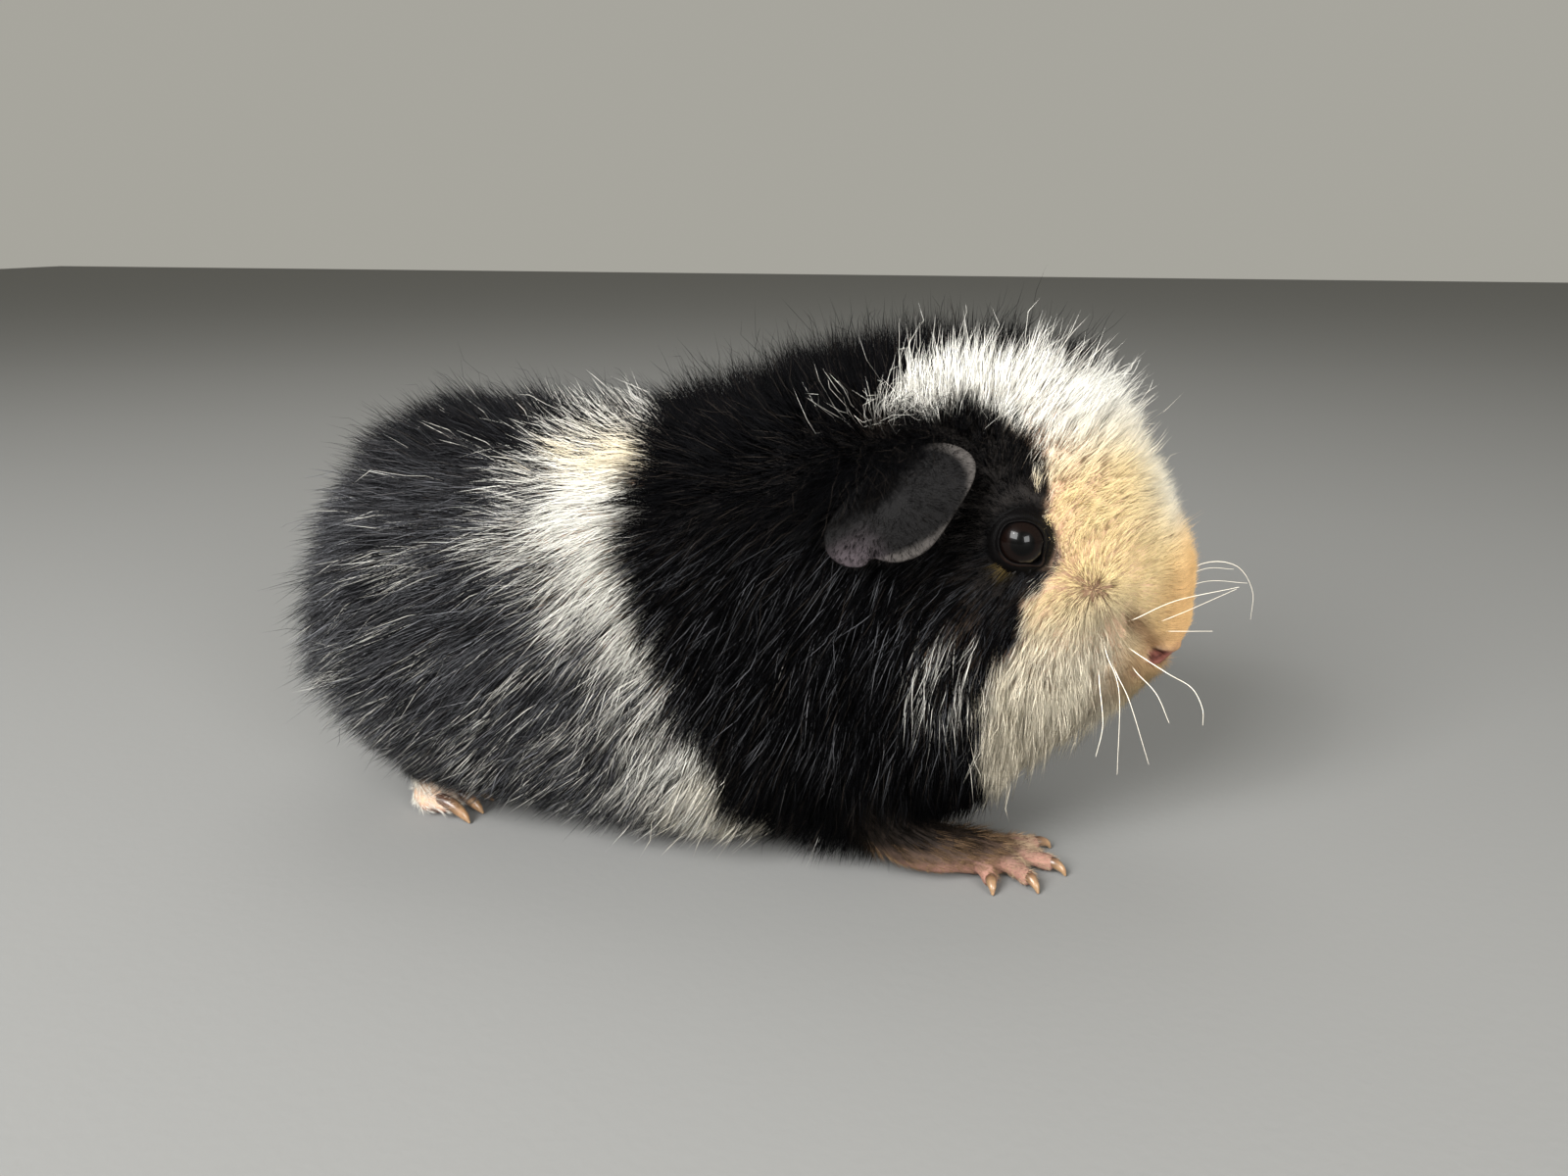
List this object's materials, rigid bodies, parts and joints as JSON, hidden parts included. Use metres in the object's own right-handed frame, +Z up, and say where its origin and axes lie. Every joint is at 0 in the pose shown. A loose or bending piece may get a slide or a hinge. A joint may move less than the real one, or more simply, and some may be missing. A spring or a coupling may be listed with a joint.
{
  "type": "guinea pig figure",
  "caption": "Life-size still model of a short-coated guinea pig standing with the head up, black and charcoal with a white saddle and blaze and a cream muzzle",
  "frame": {"origin": "centre of the footprint of the bounding box, on the floor the four soles rest on", "axes": "+X toward the nose, +Y the animal's left, +Z up"},
  "size_m": [0.2196, 0.1042, 0.1235],
  "materials": {
    "coat_black": "dense upstanding black fur",
    "coat_grey": "charcoal fur with scattered white hairs",
    "coat_white": "white fur",
    "coat_cream": "short cream to buff fur",
    "ear_skin": "thin dark nearly hairless skin",
    "foot_skin": "pink skin with short brown hair",
    "claw": "translucent brown horn, paler at the tip",
    "eye": "wet black-brown eye"
  },
  "bodies": {
    "root": {"rump": "coat_grey", "trunk": "coat_white", "shoulders": "coat_black", "neck": "coat_black", "head": "coat_black", "muzzle": "coat_cream", "lower_jaw": "coat_cream", "nose": "foot_skin", "ear_left": "ear_skin", "ear_right": "ear_skin", "eye_left": "eye", "eye_right": "eye", "foreleg_left": "coat_black", "foreleg_right": "coat_black", "hindleg_left": "coat_grey", "hindleg_right": "coat_grey", "forefoot_left": "foot_skin", "forefoot_right": "foot_skin", "hindfoot_left": "foot_skin", "hindfoot_right": "foot_skin", "foreclaw_left_1": "claw", "foreclaw_left_2": "claw", "foreclaw_left_3": "claw", "foreclaw_left_4": "claw", "foreclaw_right_1": "claw", "foreclaw_right_2": "claw", "foreclaw_right_3": "claw", "foreclaw_right_4": "claw", "hindclaw_left_1": "claw", "hindclaw_left_2": "claw", "hindclaw_left_3": "claw", "hindclaw_right_1": "claw", "hindclaw_right_2": "claw", "hindclaw_right_3": "claw"}
  },
  "joints": []
}
